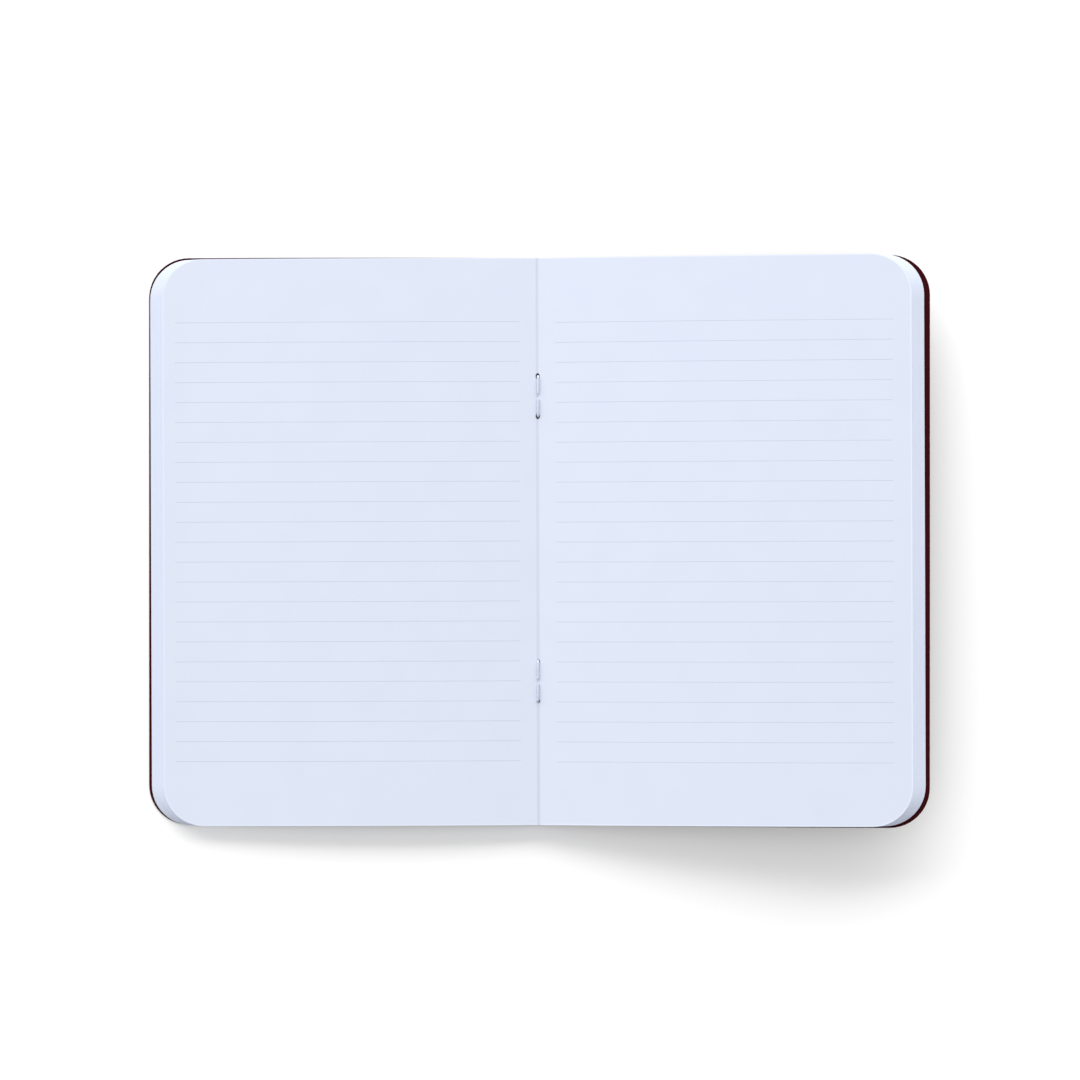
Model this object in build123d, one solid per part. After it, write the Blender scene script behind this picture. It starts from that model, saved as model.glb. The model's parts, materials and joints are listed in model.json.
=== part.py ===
# Pocket notebook: folded paper sheets and a card cover, saddle stitched with two wire staples.
# It lies open at its centre spread, face up. Millimetres, +X to the right-hand page, +Y to the
# head of the page, +Z up. The origin is the middle of the spine, on the table.
from build123d import *
import math
import os

# --- paper and card ---------------------------------------------------------------------------
sheet_count = 16
paper_thickness = 0.12
paper_gap = 0.02             # air between two nested sheets, and between the block and its cover
card_thickness = 0.30

# --- outline ----------------------------------------------------------------------------------
cover_height = 142.4
cover_reach = 97.8           # from the fold to the fore-edge, measured along the card
head_margin = 0.15            # how far the cover stands out past the pages, at head and foot
fore_edge_margin = 0.9       # the same at the fore-edge, past the sheet next to the cover
block_shift = 0.4            # how far the folded block sits towards the left-hand page
block_skew = 0.2             # degrees that the block is turned within its cover
corner_radius = 10.0

# --- how the open book lies -------------------------------------------------------------------
right_near_slope = 8.5       # degrees of rise of the right half, beside the fold
right_far_slope = 2.5        # degrees of rise at its fore-edge
left_near_slope = 2.5        # degrees of rise of the left half, beside the fold
left_fall_slope = 3.0        # steepest fall of the left half, before it flattens on the table
rest_strip = 10.0            # width of the left half that lies flat on the table

# --- fold and hinge lines ---------------------------------------------------------------------
fold_half_width = 1.0        # each sheet and the cover keep a fixed strip this wide beside the fold
hinge_gap = 0.06             # gap between that strip and the leaf that turns beside it

# --- staples ----------------------------------------------------------------------------------
wire_diameter = 0.5
crown_length = 10.0          # between the centre lines of the two legs
staple_spacing = 71.4        # between the middles of the two staples
staple_offset = 0.7          # how far the pair sits towards the head
clinch_gap = 1.4             # between the two bent-over leg ends
bend_ratio = 0.6             # centre-line radius of each bend, over the wire's diameter
staple_clearance = 0.05      # round each leg, in the hole that it pierced
wire_seat = 0.02             # between the wire and the card or paper that it lies on

# --- derived ----------------------------------------------------------------------------------
page_height = cover_height - 2 * head_margin
outer_leaf_reach = cover_reach - fore_edge_margin
sheet_pitch = paper_thickness + paper_gap
creep = sheet_pitch * math.pi / 2        # each inner leaf is cut this much shorter than the next
spine_height = wire_diameter + wire_seat
block_top = card_thickness + sheet_count * sheet_pitch
hole_radius = wire_diameter / 2 + staple_clearance

near_right = math.radians(right_near_slope)
far_right = math.radians(right_far_slope)
near_left = math.radians(left_near_slope)
fall_left = math.radians(left_fall_slope)

# The outer face of the cover, seen along the fold. The right half is one arc. The left half is
# an arch that drops to the table, a short upturned arc that flattens it, and the rest strip.
right_radius = cover_reach / (near_right - far_right)
arched_span = cover_reach - rest_strip
arch_sine = math.sin(near_left) + math.sin(fall_left)
arch_drop = math.cos(near_left) - math.cos(fall_left)
flare_drop = 1 - math.cos(fall_left)
flare_radius = (spine_height - arched_span * arch_drop / arch_sine) / (
    flare_drop - math.sin(fall_left) * arch_drop / arch_sine
)
arch_radius = (arched_span - flare_radius * math.sin(fall_left)) / arch_sine

right_centre = Vector(
    right_radius * math.sin(near_right), spine_height - right_radius * math.cos(near_right)
)
arch_centre = Vector(
    -arch_radius * math.sin(near_left), spine_height - arch_radius * math.cos(near_left)
)
flare_centre = Vector(-arched_span, flare_radius)


def on_circle(centre, radius, angle):
    """The point of a circle at an angle from straight up, towards +X."""
    return centre + Vector(radius * math.sin(angle), radius * math.cos(angle))


def gutter_point(height):
    """Where the left and right halves meet, at a height above the cover's outer face."""
    arch, right = arch_radius + height, right_radius + height
    between = right_centre - arch_centre
    along = (arch**2 - right**2 + between.length**2) / (2 * between.length)
    up = math.sqrt(arch**2 - along**2)
    direction = between.normalized()
    return arch_centre + direction * along + Vector(-direction.Y, direction.X) * up


def angle_on(centre, point):
    """The angle from straight up, towards +X, of a point seen from a circle's centre."""
    return math.atan2(point.X - centre.X, point.Y - centre.Y)


def arc(centre, radius, start, end):
    """An arc between two angles from straight up."""
    return ThreePointArc(
        on_circle(centre, radius, start),
        on_circle(centre, radius, (start + end) / 2),
        on_circle(centre, radius, end),
    )


def surface_line(height, overhang=5.0):
    """The whole section of one surface, from left to right, a height above the cover's outer face."""
    meet = gutter_point(height)
    flat_end = Vector(flare_centre.X, height)
    fore_edge = Vector(-cover_reach - overhang, height)
    past_edge = -far_right + overhang / right_radius
    return [
        Line(fore_edge, flat_end),
        arc(flare_centre, flare_radius - height, math.pi, math.pi - fall_left),
        arc(arch_centre, arch_radius + height, -fall_left, angle_on(arch_centre, meet)),
        arc(right_centre, right_radius + height, angle_on(right_centre, meet), past_edge),
    ]


def layer(bottom, thickness):
    """A wide slab that follows the open book, as thick as one sheet or as the card."""
    lower = surface_line(bottom)
    upper = surface_line(bottom + thickness)
    ends = [
        Line(lower[0] @ 0, upper[0] @ 0),
        Line(lower[-1] @ 1, upper[-1] @ 1),
    ]
    section = make_face(Curve() + lower + upper + ends)
    return extrude(Plane.XZ * section, amount=cover_height, both=True)


def left_plan(length):
    """How far a length along the left half reaches, seen from above."""
    curved = arch_radius * (near_left + fall_left) + flare_radius * fall_left
    return arched_span + length - curved


def right_plan(length):
    """How far a length along the right half reaches, seen from above."""
    end_slope = near_right - length / right_radius
    return right_radius * (math.sin(near_right) - math.sin(end_slope))


def outline(reach_left, reach_right, height, skew):
    """The upright prism of a sheet's outline, with rounded fore-edge corners."""
    left, right = left_plan(reach_left), right_plan(reach_right)
    plan = Pos((right - left) / 2, 0) * RectangleRounded(left + right, height, corner_radius)
    return extrude(Rot(0, 0, skew) * plan, amount=2 * cover_reach)


def zone(low, high):
    """A tall block between two places along X, used to part a sheet at its hinge lines."""
    return Pos((low + high) / 2, 0, 0) * Box(high - low, 2 * cover_height, 4 * cover_reach)


staple_middles = [
    staple_offset + staple_spacing / 2,
    staple_offset - staple_spacing / 2,
]


def staple_holes():
    """The holes that the staple legs pierced, through the card and every fold."""
    holes = []
    for middle in staple_middles:
        for side in (-1, 1):
            place = Pos(0, middle + side * crown_length / 2, spine_height + block_top / 2)
            holes.append(place * Cylinder(hole_radius, 2 * block_top))
    return holes


def parted(folded):
    """A folded piece as its left leaf, its pierced fold and its right leaf."""
    leaf_start = fold_half_width + hinge_gap
    left = folded & zone(-2 * cover_reach, -leaf_start)
    fold = (folded & zone(-fold_half_width, fold_half_width)) - staple_holes()
    right = folded & zone(leaf_start, 2 * cover_reach)
    return left, fold, right


def cover():
    """The card cover: front cover on the left, spine, and back cover on the right."""
    folded = layer(0, card_thickness) & outline(cover_reach, cover_reach, cover_height, 0)
    return parted(folded)


def sheet(number):
    """One folded sheet. Sheet 1 is the centre spread and the last one lies on the cover."""
    steps_out = sheet_count - number
    bottom = card_thickness + paper_gap + steps_out * sheet_pitch
    reach = outer_leaf_reach - steps_out * creep
    plan = outline(reach + block_shift, reach - block_shift, page_height, block_skew)
    return parted(layer(bottom, paper_thickness) & plan)


def staple(middle):
    """A wire staple: its crown under the spine, its legs bent together on the centre fold."""
    half_crown = crown_length / 2
    low = wire_diameter / 2
    gutter = gutter_point(block_top)
    slope_height = gutter.Y - gutter.X * math.tan(near_right)
    high = slope_height + (wire_seat + wire_diameter / 2) / math.cos(near_right)
    path = FilletPolyline(
        (0, middle - clinch_gap / 2, high),
        (0, middle - half_crown, high),
        (0, middle - half_crown, low),
        (0, middle + half_crown, low),
        (0, middle + half_crown, high),
        (0, middle + clinch_gap / 2, high),
        radius=bend_ratio * wire_diameter,
    )
    section = Plane(path @ 0, z_dir=path % 0) * Circle(wire_diameter / 2)
    return sweep(section, path=path)


os.makedirs("parts", exist_ok=True)


def write(shape, node):
    shape.label = node
    export_step(shape, f"parts/{node}.step")


front, spine, back = cover()
write(front, "front_cover")
write(spine, "cover_spine")
write(back, "back_cover")

for number in range(1, sheet_count + 1):
    left_leaf, fold, right_leaf = sheet(number)
    write(left_leaf, f"sheet_{number:02d}_left_leaf")
    write(fold, f"sheet_{number:02d}_fold")
    write(right_leaf, f"sheet_{number:02d}_right_leaf")

for name, middle in zip(("upper_staple", "lower_staple"), staple_middles):
    write(staple(middle), name)

hinge = gutter_point(block_top)
print(f"hinge line at x {hinge.X:.3f}, z {hinge.Y:.3f}")
print(f"arch radius {arch_radius:.1f}, flare radius {flare_radius:.1f}, right radius {right_radius:.1f}")
print(f"angle between the two halves at the fold {180 - right_near_slope - left_near_slope:.1f}")
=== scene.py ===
# %% [markdown]
# # A pocket notebook, open at its centre spread
# The notebook is sixteen folded sheets and a card cover, held by two wire staples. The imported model
# already says where every sheet lies and which body it turns with. This script adds the looks: thin
# bent paper with a printed ruling, grained card, and wire. Everything is in metres, +X to the
# right-hand page, +Y to the head of the page, +Z up.

# %% Load the frame
import json
import math
import random

import bmesh
import bpy
from mathutils import Matrix, Vector


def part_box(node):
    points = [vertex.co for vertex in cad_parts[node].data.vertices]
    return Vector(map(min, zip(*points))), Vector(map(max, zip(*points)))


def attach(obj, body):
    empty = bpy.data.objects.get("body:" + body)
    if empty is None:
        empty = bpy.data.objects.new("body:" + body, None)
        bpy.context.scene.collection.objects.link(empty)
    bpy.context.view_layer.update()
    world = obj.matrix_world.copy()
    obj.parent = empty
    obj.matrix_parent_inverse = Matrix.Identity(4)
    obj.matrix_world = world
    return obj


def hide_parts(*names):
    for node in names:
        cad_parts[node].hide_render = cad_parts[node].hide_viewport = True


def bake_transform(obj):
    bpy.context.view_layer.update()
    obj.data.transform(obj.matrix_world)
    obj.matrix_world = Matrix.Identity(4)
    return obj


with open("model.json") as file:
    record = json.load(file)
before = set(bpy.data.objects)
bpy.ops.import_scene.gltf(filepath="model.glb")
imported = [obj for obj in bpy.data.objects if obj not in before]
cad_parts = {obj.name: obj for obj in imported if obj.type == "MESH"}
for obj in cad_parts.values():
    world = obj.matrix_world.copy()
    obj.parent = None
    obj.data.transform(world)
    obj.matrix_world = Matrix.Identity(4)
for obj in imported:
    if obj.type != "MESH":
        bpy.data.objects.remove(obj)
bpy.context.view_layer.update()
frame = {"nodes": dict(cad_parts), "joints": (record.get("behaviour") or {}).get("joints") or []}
MM = 0.001
ROOT = "spine_and_back"
SHEETS = sum(name.endswith("_fold") for name in frame["nodes"])

# %% [markdown]
# ## The shape of the open book
# Seen along the fold, every sheet is an offset copy of one line: the outer face of the cover. Its
# right half is a single arc that rises from the table. Its left half is a low arch, a short
# upturned arc and a flat strip that rests on the table. Following the same arcs as the solid model
# keeps the paper exactly where that model has it, and offset arcs never cross.

# %% The line that every sheet follows
RIGHT_NEAR, RIGHT_FAR = math.radians(8.5), math.radians(2.5)
LEFT_NEAR, LEFT_FALL = math.radians(2.5), math.radians(3.0)
COVER_REACH, REST_STRIP = 97.8 * MM, 10 * MM
CARD, PAPER, AIR = 0.30 * MM, 0.12 * MM, 0.02 * MM
PITCH = PAPER + AIR
SPINE_HEIGHT = 0.52 * MM

span = COVER_REACH - REST_STRIP
sine = math.sin(LEFT_NEAR) + math.sin(LEFT_FALL)
drop = math.cos(LEFT_NEAR) - math.cos(LEFT_FALL)
flare = 1 - math.cos(LEFT_FALL)
FLARE_RADIUS = (SPINE_HEIGHT - span * drop / sine) / (flare - math.sin(LEFT_FALL) * drop / sine)
ARCH_RADIUS = (span - FLARE_RADIUS * math.sin(LEFT_FALL)) / sine
RIGHT_RADIUS = COVER_REACH / (RIGHT_NEAR - RIGHT_FAR)
right_x = RIGHT_RADIUS * math.sin(RIGHT_NEAR)
right_z = SPINE_HEIGHT - RIGHT_RADIUS * math.cos(RIGHT_NEAR)
arch_x = -ARCH_RADIUS * math.sin(LEFT_NEAR)
arch_z = SPINE_HEIGHT - ARCH_RADIUS * math.cos(LEFT_NEAR)


def right_height(x, above):
    """Height of the right half at x, a distance above the cover's outer face."""
    return right_z + math.sqrt((RIGHT_RADIUS + above) ** 2 - (x - right_x) ** 2)


def left_height(x, above):
    """The same for the left half: rest strip, upturned arc, arch."""
    if x < -span:
        return above
    if x < -span + (FLARE_RADIUS - above) * math.sin(LEFT_FALL):
        return FLARE_RADIUS - math.sqrt((FLARE_RADIUS - above) ** 2 - (x + span) ** 2)
    return arch_z + math.sqrt((ARCH_RADIUS + above) ** 2 - (x - arch_x) ** 2)


hinge = frame["joints"][0]["pos_m"]
BLOCK_TOP = CARD + SHEETS * PITCH
GUTTER_SLIP = hinge[0] / BLOCK_TOP
print(f"arch {ARCH_RADIUS / MM:.0f} mm, right arc {RIGHT_RADIUS / MM:.0f} mm, hinge line {hinge}")


def gutter(above):
    """Where the two halves meet. The valley leans a little towards the lower half."""
    return GUTTER_SLIP * above


# %% [markdown]
# ## Half a sheet
# A folded sheet bends at its fold, so each half is a mesh of its own.
# It could be a solidified plane, but then its corners are square. Here a rectangle gets its two
# fore-edge corners rounded by a vertex bevel, is cut into strips that can bend, is pierced where the
# staple legs pass, is laid over the book's line, and gets its thickness last. The strips are narrow
# beside the fold, where paper bends sharply, and wide elsewhere. A hole is cut by six planes round
# an oval. The upper staple tore long holes in the paper, and the lower one sits in snug round ones.

# %% Cutting and piercing tools
LEG_YS = []
for staple in ("upper_staple", "lower_staple"):
    low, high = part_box(staple)
    wire_radius = (high[0] - low[0]) / 2
    LEG_YS += [low[1] + wire_radius, high[1] - wire_radius]
HEAD_LEGS = LEG_YS[1::2]
PATCH = 1.5 * MM
PATCH_MARGIN = 9 * MM
HOLE_OFFSET = 0.15 * MM
HOLE_SIDES = range(-75, 76, 30)
SNUG_HOLE = (0.34 * MM, 0.34 * MM)


def everything(bm):
    return bm.verts[:] + bm.edges[:] + bm.faces[:]


def cut(bm, place, normal, geometry=None):
    bmesh.ops.bisect_plane(
        bm, geom=geometry or everything(bm), dist=1e-7, plane_co=place, plane_no=normal
    )


def faces_within(bm, x_limit, y_low, y_high):
    """The faces beside the fold between two heights, with edges and corners, in a fixed order."""
    chosen = [
        f
        for f in bm.faces
        if abs(f.calc_center_median().x) < x_limit and y_low < f.calc_center_median().y < y_high
    ]
    corners = dict.fromkeys(v for f in chosen for v in f.verts)
    edges = dict.fromkeys(e for f in chosen for e in f.edges)
    return [*corners, *edges, *chosen]


def pierce(bm, leg, half_width, half_length):
    """Opens half of an oval hole beside the fold. At the upper staple it reaches past the leg."""
    offset = HOLE_OFFSET if leg > 0 else 0
    y = leg + offset * (1 if leg in HEAD_LEGS else -1)
    for edge in (y - PATCH, y + PATCH):
        beside = faces_within(bm, PATCH, y - PATCH_MARGIN, y + PATCH_MARGIN)
        cut(bm, (0, edge, 0), (0, 1, 0), beside)
    planes = []
    for degrees in HOLE_SIDES:
        angle = math.radians(degrees)
        normal = Vector((math.cos(angle) / half_width, math.sin(angle) / half_length, 0))
        point = Vector((half_width * math.cos(angle), y + half_length * math.sin(angle), 0))
        planes.append((point, normal.normalized()))
        cut(bm, point, normal, faces_within(bm, PATCH, y - PATCH, y + PATCH))
    inside = [
        f
        for f in bm.faces
        if all((f.calc_center_median() - point).dot(normal) < 0 for point, normal in planes)
        and abs(f.calc_center_median().y - y) < half_length
    ]
    bmesh.ops.delete(bm, geom=inside, context="FACES")


print("staple legs at y, mm:", [round(y / MM, 1) for y in LEG_YS])

# %% [markdown]
# The flat half sheet is made on the right of the fold, with x as the distance from it. Its own
# distances become two UV maps, in metres, one from the fold and one in from the rim, so the printed
# ruling stays put on the paper when the leaf turns. Paper that has been handled is never dead flat,
# so all the layers on one side share a faint ripple that grows towards the fore-edge: shared,
# because sheets this close would cross otherwise.

# %% Making a half sheet
CORNER, CORNER_SEGMENTS = 10 * MM, 12
FOLD_CUTS = [0.15] + [0.4 + 0.2 * step for step in range(12)] + [3.2, 4.2, 6.0]
STRIP, ROWS = 5.5, 10
SHARP = math.radians(40)
VALLEY = 0.4 * MM
RIPPLE = {1: 0.22 * MM, -1: 0.07 * MM}
LONG_WAVE, SHORT_WAVE, SLANT = 31 * MM, 13 * MM, 40 * MM


def ripple(side, x, y):
    """A slow wave in the paper, zero at the fold and never below the resting height."""
    share = min(1.0, abs(x) / COVER_REACH) ** 2
    wave = math.sin(y / LONG_WAVE + 0.8) + 0.5 * math.sin(y / SHORT_WAVE + abs(x) / SLANT)
    return RIPPLE[side] * share * (0.75 + 0.5 * wave)


def flat_half(reach, height, hole):
    """A flat half sheet with rounded fore-edge corners, in strips, pierced for the legs."""
    bm = bmesh.new()
    bmesh.ops.create_grid(bm, x_segments=1, y_segments=1, size=0.5)
    bmesh.ops.scale(bm, vec=(reach, height, 1), verts=bm.verts)
    bmesh.ops.translate(bm, vec=(reach / 2, 0, 0), verts=bm.verts)
    corners = [v for v in bm.verts if v.co.x > reach / 2]
    bmesh.ops.bevel(
        bm, geom=corners, offset=CORNER, offset_type="OFFSET", affect="VERTICES",
        segments=CORNER_SEGMENTS, profile=0.5, material=-1,
    )
    places = [mm * MM for mm in FOLD_CUTS]
    while places[-1] + STRIP * MM < reach:
        places.append(places[-1] + STRIP * MM)
    for x in places:
        cut(bm, (x, 0, 0), (1, 0, 0))
    for row in range(1, ROWS):
        cut(bm, (0, height * (row / ROWS - 0.5), 0), (0, 1, 0))
    for y in LEG_YS:
        pierce(bm, y, *(hole if y > 0 else SNUG_HOLE))
    return bm


def piece_from(bm, name):
    """A finished object, smooth over its bends and sharp at its cut edges."""
    mesh = bpy.data.meshes.new(name)
    bm.to_mesh(mesh)
    bm.free()
    mesh.shade_smooth()
    mesh.set_sharp_from_angle(angle=SHARP)
    piece = bpy.data.objects.new(name, mesh)
    bpy.context.collection.objects.link(piece)
    return piece


def half_sheet(name, side, reach, height, bottom, thickness, hole, skew=0.0):
    """A half sheet or half cover as an object, laid over the book at its own level."""
    bm = flat_half(reach, height, hole)
    sheet_uv = bm.loops.layers.uv.new("sheet")
    rim_uv = bm.loops.layers.uv.new("rim")
    for face in bm.faces:
        for loop in face.loops:
            x, y, _ = loop.vert.co
            loop[sheet_uv].uv = (x, y)
            loop[rim_uv].uv = (reach - x, height / 2 - abs(y))
    top = bottom + thickness
    fold = gutter(top)
    bmesh.ops.scale(bm, vec=(side, 1, 1), verts=bm.verts)
    bmesh.ops.rotate(bm, matrix=Matrix.Rotation(skew, 3, "Z"), verts=bm.verts)
    lie = right_height if side > 0 else left_height
    for v in bm.verts:
        if abs(v.co.x) < VALLEY:
            v.co.x += fold * (1 - abs(v.co.x) / VALLEY)
        v.co.z = lie(v.co.x, top) + ripple(side, v.co.x, v.co.y)
    bmesh.ops.recalc_face_normals(bm, faces=bm.faces)
    if sum(f.normal.z for f in bm.faces) < 0:
        bmesh.ops.reverse_faces(bm, faces=bm.faces)
    bmesh.ops.solidify(bm, geom=bm.faces[:], thickness=thickness)
    bmesh.ops.recalc_face_normals(bm, faces=bm.faces)
    return piece_from(bm, name)


# %% [markdown]
# ## Shader maths in a readable form
# A pattern such as a printed line is a sum: how far is this point from the nearest line? Node trees
# hide that. A small class wraps a socket, so that the sum is written as Python and adds its own
# Math nodes, and one method makes every other node.

# %% A small shader language
class Value:
    """A number socket that does arithmetic by adding Math nodes."""

    def __init__(self, tree, socket):
        self.tree, self.socket = tree, socket

    def math(self, operation, *others):
        made = self.tree.node("ShaderNodeMath", {"operation": operation}, self, *others)
        return made.out()

    def __add__(self, other):
        return self.math("ADD", other)

    def __sub__(self, other):
        return self.math("SUBTRACT", other)

    def __mul__(self, other):
        return self.math("MULTIPLY", other)

    def __truediv__(self, other):
        return self.math("DIVIDE", other)

    def __rsub__(self, other):
        return (self * -1.0).math("ADD", other)

    __radd__ = __add__
    __rmul__ = __mul__

    def below(self, limit):
        return self.math("LESS_THAN", limit)

    def above(self, limit):
        return self.math("GREATER_THAN", limit)

    def size(self):
        return self.math("ABSOLUTE")

    def step(self, low, high):
        """0 up to low, 1 from high, smooth in between."""
        made = self.tree.node(
            "ShaderNodeMapRange", {"interpolation_type": "SMOOTHSTEP"}, self, low, high
        )
        return made.out()


class Made:
    """A node just made; out() gives one of its outputs as a value."""

    def __init__(self, tree, node):
        self.tree, self.made = tree, node

    def out(self, name=0):
        return Value(self.tree, self.made.outputs[name])


class Finish:
    """A material with one Principled shader, built through node()."""

    def __init__(self, name, **sockets):
        self.material = bpy.data.materials.new(name)
        self.material.use_nodes = True
        self.nodes = self.material.node_tree.nodes
        self.links = self.material.node_tree.links
        self.shader = self.nodes["Principled BSDF"]
        self.set(**sockets)

    def give(self, socket, value):
        if isinstance(value, Made):
            value = value.out()
        if isinstance(value, Value):
            self.links.new(value.socket, socket)
        else:
            socket.default_value = value

    def node(self, kind, settings=None, *inputs, **named):
        node = self.nodes.new(kind)
        for key, value in (settings or {}).items():
            setattr(node, key, value)
        for index, value in enumerate(inputs):
            self.give(node.inputs[index], value)
        for key, value in named.items():
            self.give(node.inputs[key.replace("_", " ")], value)
        return Made(self, node)

    def set(self, **sockets):
        for key, value in sockets.items():
            self.give(self.shader.inputs[key.replace("_", " ")], value)

    def sheet_place(self):
        """Distance from the fold and height on the page, in millimetres, from the UV map."""
        uv = self.node("ShaderNodeUVMap", {"uv_map": "sheet"})
        split = self.node("ShaderNodeSeparateXYZ", None, uv)
        return uv, split.out("X") / MM, split.out("Y") / MM

    def rim_distance(self):
        """Distance in from the sheet's rounded outline, in millimetres, from the rim UV map."""
        uv = self.node("ShaderNodeUVMap", {"uv_map": "rim"})
        split = self.node("ShaderNodeSeparateXYZ", None, uv)
        corner = CORNER / MM
        across = (corner - split.out("X") / MM).math("MAXIMUM", 0.0)
        along = (corner - split.out("Y") / MM).math("MAXIMUM", 0.0)
        return corner - (across * across + along * along).math("SQRT")

    def noise(self, place, scale, detail=2.0, roughness=0.5, stretch=(1, 1, 1)):
        spread = self.node("ShaderNodeMapping", None, place, Scale=stretch)
        made = self.node(
            "ShaderNodeTexNoise", None, Vector=spread, Scale=scale, Detail=detail,
            Roughness=roughness,
        )
        return made.out()

    def mix(self, factor, low, high):
        """A colour that goes from low to high with the factor."""
        mixer = self.nodes.new("ShaderNodeMix")
        mixer.data_type = "RGBA"
        colours = [s for s in mixer.inputs if s.type == "RGBA"]
        self.give(mixer.inputs[0], factor)
        for socket, colour in zip(colours, (low, high)):
            self.give(socket, colour)
        return Value(self, next(s for s in mixer.outputs if s.type == "RGBA"))

    def bump(self, height, strength, distance):
        made = self.node(
            "ShaderNodeBump", None, Height=height, Strength=strength, Distance=distance
        )
        self.set(Normal=made)


def shade(red, green, blue):
    """A colour given as 0-255 screen values, as linear values."""
    def linear(v):
        v /= 255
        return v / 12.92 if v <= 0.04045 else ((v + 0.055) / 1.055) ** 2.4

    return (linear(red), linear(green), linear(blue), 1.0)


# %% [markdown]
# ## Writing paper
# The paper is smooth and faintly cool white, with a hair-thin grey ruling, 23 lines 5 mm apart,
# that stops short of the fold and of the fore-edge. The ruling could be a texture image, but a
# distance sum is sharp at any size. Under it go a cloudy formation, as in any paper held to light,
# short fibres, a paler rim that is a painted highlight, a little painted shade where it is creased
# at the fold, and painted shade round the holes where the staple legs went through.

# %% Paper
RULING_LINES, RULING_PITCH, FIRST_LINE = 23, 5.0, 55.1
LINE_HALF_WIDTH, RULING_START = 0.07, 4.5
PAPER_WHITE = shade(213, 220, 235)
PAPER_CLOUD = shade(211, 218, 234)
# A painted highlight: the paper's rim is lightened towards this colour.
RIM_HIGHLIGHT = shade(224, 231, 246)
INK = shade(186, 192, 208)
# Painted shade: the paper in the fold crease is darkened towards this colour.
CREASE_SHADE = shade(188, 194, 210)
# Painted shade: the paper round the staple holes is darkened towards this colour.
LEG_HOLE_SHADE = shade(46, 50, 68)
FAINT = 0.2
RIM_START, RIM_END = 0.15, 0.4
# How far the painted shade reaches at the fold crease and round the staple holes.
CREASE_SHADE_START, CREASE_SHADE_END, CREASE_SHADE_DEPTH = 0.12, 0.6, 0.42
HOLE_SHADE_START, HOLE_SHADE_END = 0.45, 0.85


def leg_hole_shade(across, up):
    """1 in the painted shade round each leg of the upper staple, faint at the lower one."""
    marks = 0.0
    for leg in LEG_YS:
        off = up - leg / MM
        away = (across * across * 1.4 + off * off * 0.8).math("SQRT")
        spot = 1 - away.step(HOLE_SHADE_START, HOLE_SHADE_END)
        marks = spot * (1.0 if leg > 0 else FAINT) + marks
    return marks


def paper(name, ruling_end, ruling_drop, hole_shade, rim_highlight):
    """A page's finish: ruling reach and drop, painted shade at the legs, painted highlight on the rim.
    """
    look = Finish(name, IOR=1.45)
    uv, across, up = look.sheet_place()
    down = (FIRST_LINE - ruling_drop - up) / RULING_PITCH
    nearest = (down - (down + 0.5).math("FLOOR")).size() * RULING_PITCH
    line = 1 - nearest.step(LINE_HALF_WIDTH * 0.6, LINE_HALF_WIDTH * 1.4)
    rows = down.above(-0.5) * down.below(RULING_LINES - 0.5)
    columns = across.above(RULING_START) * across.below(ruling_end)
    ink_density = look.noise(uv, 900, stretch=(0.15, 1, 1)) * 0.5 + 0.55
    printed = line * rows * columns * ink_density

    cloud = look.noise(uv, 90, detail=3)
    fibre = look.noise(uv, 5200, detail=3, roughness=0.65, stretch=(1, 0.3, 1))
    base = look.mix(cloud.step(0.3, 0.75) * 0.7 + fibre * 0.3, PAPER_WHITE, PAPER_CLOUD)
    # The rim is lightened as a painted highlight, stronger on the right page.
    rim = 1 - look.rim_distance().step(RIM_START, RIM_END)
    lit = look.mix(rim * rim_highlight, base, RIM_HIGHLIGHT)
    # The paper at the fold is darkened as painted shade in the crease.
    crease_shade = 1 - across.step(CREASE_SHADE_START, CREASE_SHADE_END)
    crease_shaded = look.mix(crease_shade * CREASE_SHADE_DEPTH, lit, CREASE_SHADE)
    inked = look.mix(printed, crease_shaded, INK)
    # The paper round the staple legs is darkened as painted shade, over the ruling.
    look.set(Base_Color=look.mix(hole_shade * leg_hole_shade(across, up), inked, LEG_HOLE_SHADE))
    look.set(Roughness=fibre * 0.12 + 0.82)
    look.bump(fibre, 0.25, 0.02 * MM)
    look.shader.inputs["Specular IOR Level"].default_value = 0.25
    return look.material


def shaded_cut_edge(name, tone):
    """The guillotined edge of a sheet: painted a touch darker than its face as painted shade, and drier.
    """
    look = Finish(name, IOR=1.45)
    uv = look.node("ShaderNodeUVMap", {"uv_map": "sheet"})
    burr = look.noise(uv, 3000, detail=2)
    light, dark = (tuple(c * tone for c in colour[:3]) + (1.0,) for colour in (PAPER_WHITE, INK))
    look.set(Base_Color=look.mix(burr * 0.5, light, dark), Roughness=burr * 0.1 + 0.88)
    look.shader.inputs["Specular IOR Level"].default_value = 0.1
    return look.material


# Cut edges are darker than the page as painted shade, in three tones picked at random per sheet.
EDGE_SHADE_TONES = {"dim": 0.80, "mid": 0.92, "pale": 1.0}
edge_papers = [shaded_cut_edge(f"paper_edge_shade_{word}", tone) for word, tone in EDGE_SHADE_TONES.items()]
# The left page gets weaker painted shade at the staple legs and a weaker painted highlight on the rim.
left_paper = paper("left_page_paper", ruling_end=90.9, ruling_drop=0.0, hole_shade=0.55, rim_highlight=0.65)
right_paper = paper("right_page_paper", ruling_end=88.1, ruling_drop=0.3, hole_shade=0.9, rim_highlight=1.0)
print("paper finishes:", left_paper.name, right_paper.name)

# %% [markdown]
# ## Sixteen folded sheets
# The sheets are nested and then trimmed together while the book is shut, so each inner leaf is
# shorter than the one outside it: that is the stepped band along the fore-edge.
# A hand never folds a sheet exactly, so each gets its own tiny slip and one of three tones of cut
# edge, all darker than the page as painted shade, from a seeded random draw.

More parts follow.
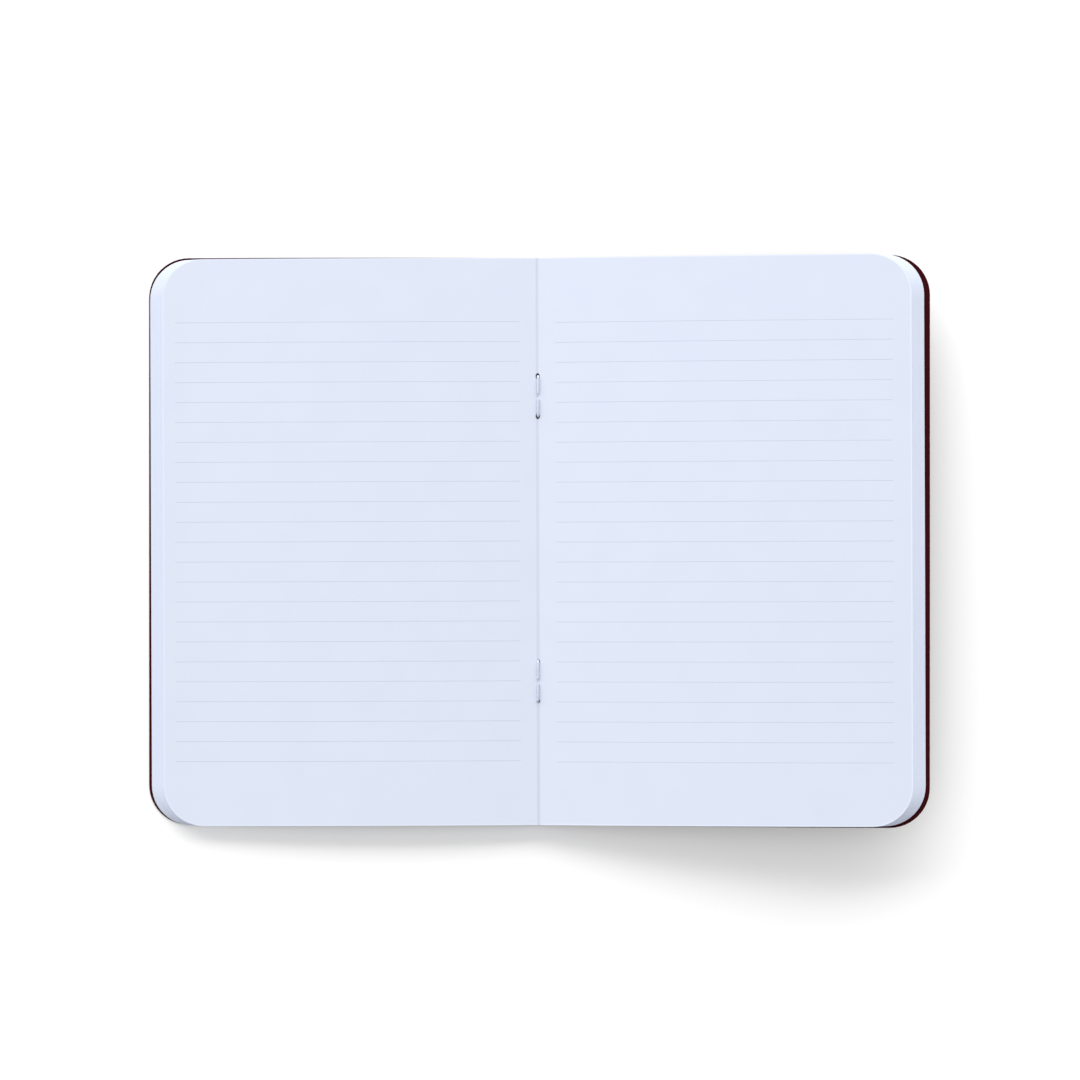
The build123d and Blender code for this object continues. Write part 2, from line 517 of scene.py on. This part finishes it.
# %% Sheets
CREEP = PITCH * math.pi / 2
PAGE_HEIGHT, OUTER_LEAF_REACH = 142.1 * MM, 96.9 * MM
BLOCK_SHIFT, BLOCK_SKEW = 0.4 * MM, math.radians(0.2)
SLIP = 0.05 * MM
TORN_HOLE = {1: (0.52 * MM, 0.62 * MM), -1: (0.36 * MM, 0.50 * MM)}
draw = random.Random(16)


def bend_at_fold(piece):
    """Bakes the piece's placement into its mesh."""
    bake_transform(piece)


for number in range(1, SHEETS + 1):
    steps_out = SHEETS - number
    bottom = CARD + AIR + steps_out * PITCH
    reach = OUTER_LEAF_REACH - steps_out * CREEP
    slip = draw.uniform(-SLIP, SLIP)
    edge = draw.choice(edge_papers)
    for side, word, finish in ((-1, "left", left_paper), (1, "right", right_paper)):
        length = reach - side * BLOCK_SHIFT + slip * side
        if side > 0:
            length = RIGHT_RADIUS * (math.sin(RIGHT_NEAR) - math.sin(RIGHT_NEAR - length / RIGHT_RADIUS))
        name = f"sheet_{number:02d}_{word}"
        half = half_sheet(
            f"{name}_page", side, length, PAGE_HEIGHT, bottom, PAPER, TORN_HOLE[side], BLOCK_SKEW
        )
        half.data.materials.append(finish)
        half.data.materials.append(edge)
        for face in half.data.polygons:
            face.material_index = int(abs(face.normal.z) < 0.5)
        bend_at_fold(half)
        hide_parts(f"{name}_leaf", f"sheet_{number:02d}_fold")
print("faces in one half sheet:", len(half.data.polygons))

# %% [markdown]
# ## Card cover
# The cover is one piece of solid-dyed card, deep maroon, 0.3 mm thick, folded once at the spine.
# It is made like a sheet, but heavier. The inside is matt and plain. The outside is pressed with a
# fine grain and is a little paler, and the trimmed edge is darkest. The two sides and the edge are
# three finishes, given by which way each face looks.

# %% Card finishes
RUBBED = shade(104, 40, 40)


def card(name, plain, mottled, grain_depth, roughness):
    """A mottled, fibrous card with pressed cells, rubbed paler along the fold."""
    look = Finish(name, IOR=1.47)
    uv, across, _ = look.sheet_place()
    mottle = look.noise(uv, 260, detail=4, roughness=0.6)
    fibre = look.noise(uv, 3600, detail=3, roughness=0.6, stretch=(1, 0.45, 1))
    cells = look.node(
        "ShaderNodeTexVoronoi", {"feature": "DISTANCE_TO_EDGE"}, Vector=uv, Scale=1500.0
    ).out("Distance")
    grain = cells.step(0.0, 0.25) * 0.6 + fibre * 0.4
    worn = 1 - across.step(0.3, 2.2)
    base = look.mix(mottle * 0.6 + fibre * 0.4, plain, mottled)
    look.set(Base_Color=look.mix(worn * fibre * 0.5, base, RUBBED))
    look.set(Roughness=fibre * 0.16 + (roughness - 0.08))
    look.bump(grain, 0.5, grain_depth)
    look.shader.inputs["Specular IOR Level"].default_value = 0.07
    return look.material


card_inside = card("card_inside", shade(60, 7, 12), shade(49, 3, 7), 0.015 * MM, 0.78)
card_outside = card("card_outside", shade(64, 13, 18), shade(47, 8, 12), 0.05 * MM, 0.78)
card_edge = card("card_edge", shade(48, 14, 15), shade(38, 10, 11), 0.03 * MM, 0.85)
print("card finishes:", card_inside.name, card_outside.name, card_edge.name)
COVER_HEIGHT = 142.4 * MM


def dress_cover(piece):
    """Inside on the faces that look up, outside on those that look down, edge on the rest."""
    for material in (card_inside, card_outside, card_edge):
        piece.data.materials.append(material)
    for face in piece.data.polygons:
        up = face.normal.z
        face.material_index = 0 if up > 0.5 else 1 if up < -0.5 else 2


# %% Cover halves
right_reach = RIGHT_RADIUS * (math.sin(RIGHT_NEAR) - math.sin(RIGHT_FAR))
left_reach = -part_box("front_cover")[0][0]
card_hole = (0.29 * MM, 0.32 * MM)
front = half_sheet("front_cover_card", -1, left_reach, COVER_HEIGHT, 0, CARD, card_hole)
back = half_sheet("back_cover_card", 1, right_reach, COVER_HEIGHT, 0, CARD, card_hole)
for piece in (front, back):
    dress_cover(piece)
bend_at_fold(front)
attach(back, ROOT)
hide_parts("front_cover")
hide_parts("back_cover", "cover_spine")
print("cover faces:", len(front.data.polygons), len(back.data.polygons))

# %% [markdown]
# ## Staples
# Stitching wire is bent into a flat-backed bridge: the crown lies along the outside of the spine,
# the legs pass through the fold, and the ends are bent together on the centre spread. The wire is
# grown from one circle: extruded along a leg end, spun round a bend, extruded down the leg, spun
# again, extruded to the middle of the crown, and mirrored. The cut ends are chamfered by an inset.
# The wire is half metal, half matt, with fine lines drawn along its length. Its pale, paper-blue
# colour is partly the wire's own and partly painted reflection of the white surroundings.

# %% Staple wire
BEND, BEND_STEPS = 0.3 * MM, 5
CLINCH_GAP = 1.4 * MM
WIRE_SEGMENTS = 14


def ring_end(rim):
    """The edges of the newest ring after an extrude or a spin."""
    return [e for e in rim if isinstance(e, bmesh.types.BMEdge)]


def staple_wire(name, node):
    """A closed staple of round wire that fills the solid node's box."""
    low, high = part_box(node)
    radius = (high[0] - low[0]) / 2
    middle = (low[1] + high[1]) / 2
    x = (low[0] + high[0]) / 2
    foot, head = low[2] + radius, high[2] - radius
    leg = high[1] - radius
    first_run = (leg - middle) / 4
    bm = bmesh.new()
    made = bmesh.ops.create_circle(bm, cap_ends=False, radius=radius, segments=WIRE_SEGMENTS)
    bmesh.ops.rotate(bm, matrix=Matrix.Rotation(math.pi / 2, 3, "X"), verts=made["verts"])
    bmesh.ops.translate(bm, vec=(x, middle + CLINCH_GAP / 2, head), verts=made["verts"])
    rim = bm.edges[:]

    def run(rim, move):
        grown = bmesh.ops.extrude_edge_only(bm, edges=rim)["geom"]
        bmesh.ops.translate(
            bm, vec=move, verts=[v for v in grown if isinstance(v, bmesh.types.BMVert)]
        )
        return ring_end(grown)

    def bend(rim, centre):
        turned = bmesh.ops.spin(
            bm, geom=rim, cent=centre, axis=(1, 0, 0), angle=-math.pi / 2, steps=BEND_STEPS
        )["geom_last"]
        return ring_end(turned)

    rim = run(rim, (0, first_run, 0))
    rim = run(rim, (0, leg - BEND - (middle + CLINCH_GAP / 2) - first_run, 0))
    rim = bend(rim, (x, leg - BEND, head - BEND))
    rim = run(rim, (0, 0, foot + BEND - (head - BEND)))
    rim = bend(rim, (x, leg - BEND, foot + BEND))
    rim = run(rim, (0, middle - (leg - BEND), 0))
    tip = [e for e in bm.edges if e.is_boundary and e not in rim]
    cap = bmesh.ops.contextual_create(bm, geom=tip)["faces"]
    bmesh.ops.inset_region(bm, faces=cap, thickness=0.25 * radius, depth=0.2 * radius)
    bmesh.ops.mirror(
        bm, geom=everything(bm), matrix=Matrix.Translation((0, -middle, 0)), axis="Y",
        merge_dist=0.01 * MM,
    )
    bmesh.ops.remove_doubles(bm, verts=bm.verts, dist=0.005 * MM)
    bmesh.ops.recalc_face_normals(bm, faces=bm.faces)
    print(name, "open edges:", sum(not e.is_manifold for e in bm.edges))
    return piece_from(bm, name)


def wire_finish():
    """Pale wire with fine lines along it; its colour is partly painted reflection of the white
    surroundings.
    """
    look = Finish("galvanised_wire", Metallic=0.5)
    place = look.node("ShaderNodeTexCoord").out("Object")
    drawn = look.noise(place, 9000, detail=2, stretch=(1, 0.06, 1))
    spots = look.noise(place, 2400, detail=2)
    # The pale, paper-blue colour is partly painted reflection of the white surroundings.
    pale_with_reflection = look.mix(spots.step(0.4, 0.7), shade(217, 222, 238), shade(206, 211, 228))
    look.set(Base_Color=pale_with_reflection, Roughness=drawn * 0.2 + 0.5)
    look.bump(drawn, 0.3, 0.01 * MM)
    return look.material


steel = wire_finish()
for node in ("upper_staple", "lower_staple"):
    wire = staple_wire(f"{node}_wire", node)
    wire.data.materials.append(steel)
    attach(wire, ROOT)
    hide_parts(node)

# %% [markdown]
# ## Table, light and camera
# The book lies on plain white. One large soft light stands past the head of the page, a little to
# the left, so that soft shadows fall to the foot and to the right, and an even sky fills them. The
# camera looks straight down from about arm's length.

# %% Floor
FLOOR_HALF = 3.0
floor_mesh = bpy.data.meshes.new("floor")
bm = bmesh.new()
bmesh.ops.create_grid(bm, x_segments=1, y_segments=1, size=FLOOR_HALF)
bm.to_mesh(floor_mesh)
bm.free()
floor = bpy.data.objects.new("floor", floor_mesh)
bpy.context.collection.objects.link(floor)
table = Finish("white_table", Base_Color=(0.96, 0.96, 0.96, 1), Roughness=0.95)
table.set(Emission_Color=(1, 1, 1, 1), Emission_Strength=0.10)
table.shader.inputs["Specular IOR Level"].default_value = 0.0
floor.data.materials.append(table.material)
print(f"table top {2 * FLOOR_HALF:.0f} m across")

# %% Light
WINDOW_BEARING = math.radians(98.5)
WINDOW_DISTANCE, WINDOW_TOP = 2.5, math.radians(38)
WINDOW_HALF_SPREAD = math.radians(55)
WINDOW_POWER, SKY_STRENGTH = 238.0, 0.62
window_width = 2 * WINDOW_DISTANCE * math.tan(WINDOW_HALF_SPREAD)
window_height = WINDOW_DISTANCE * math.tan(WINDOW_TOP)
bearing = Vector((math.cos(WINDOW_BEARING), math.sin(WINDOW_BEARING), 0))
window_light = bpy.data.lights.new("window", "AREA")
window_light.shape = "RECTANGLE"
window_light.size = window_width
window_light.size_y = window_height
window_light.energy = WINDOW_POWER
window = bpy.data.objects.new("window", window_light)
window.location = bearing * WINDOW_DISTANCE + Vector((0, 0, window_height / 2))
window.rotation_euler = bearing.to_track_quat("Z", "Y").to_euler()
window.visible_camera = False
bpy.context.collection.objects.link(window)
print(f"window {window_width:.1f} m wide and {window_height:.1f} m high")

world = bpy.data.worlds.new("studio")
world.use_nodes = True
world.node_tree.nodes["Background"].inputs["Color"].default_value = (1, 1, 1, 1)
world.node_tree.nodes["Background"].inputs["Strength"].default_value = SKY_STRENGTH
scene = bpy.context.scene
scene.world = world
scene.view_settings.view_transform = "Standard"

# %% Camera
VIEW_WIDTH, VIEW_DISTANCE = 270.8 * MM, 0.8
SENSOR = 36
PAGE_LEVEL = 2.5 * MM
AIM = Vector((0.49 * MM, 0.35 * MM, PAGE_LEVEL))
camera_data = bpy.data.cameras.new("camera")
camera_data.sensor_width = SENSOR
camera_data.lens = SENSOR * VIEW_DISTANCE / VIEW_WIDTH
camera_data.clip_start = 0.01
camera = bpy.data.objects.new("camera", camera_data)
camera.location = AIM + Vector((0, 0, VIEW_DISTANCE))
bpy.context.collection.objects.link(camera)
scene.camera = camera
print(f"lens {camera_data.lens:.0f} mm for a view {VIEW_WIDTH / MM:.0f} mm wide")
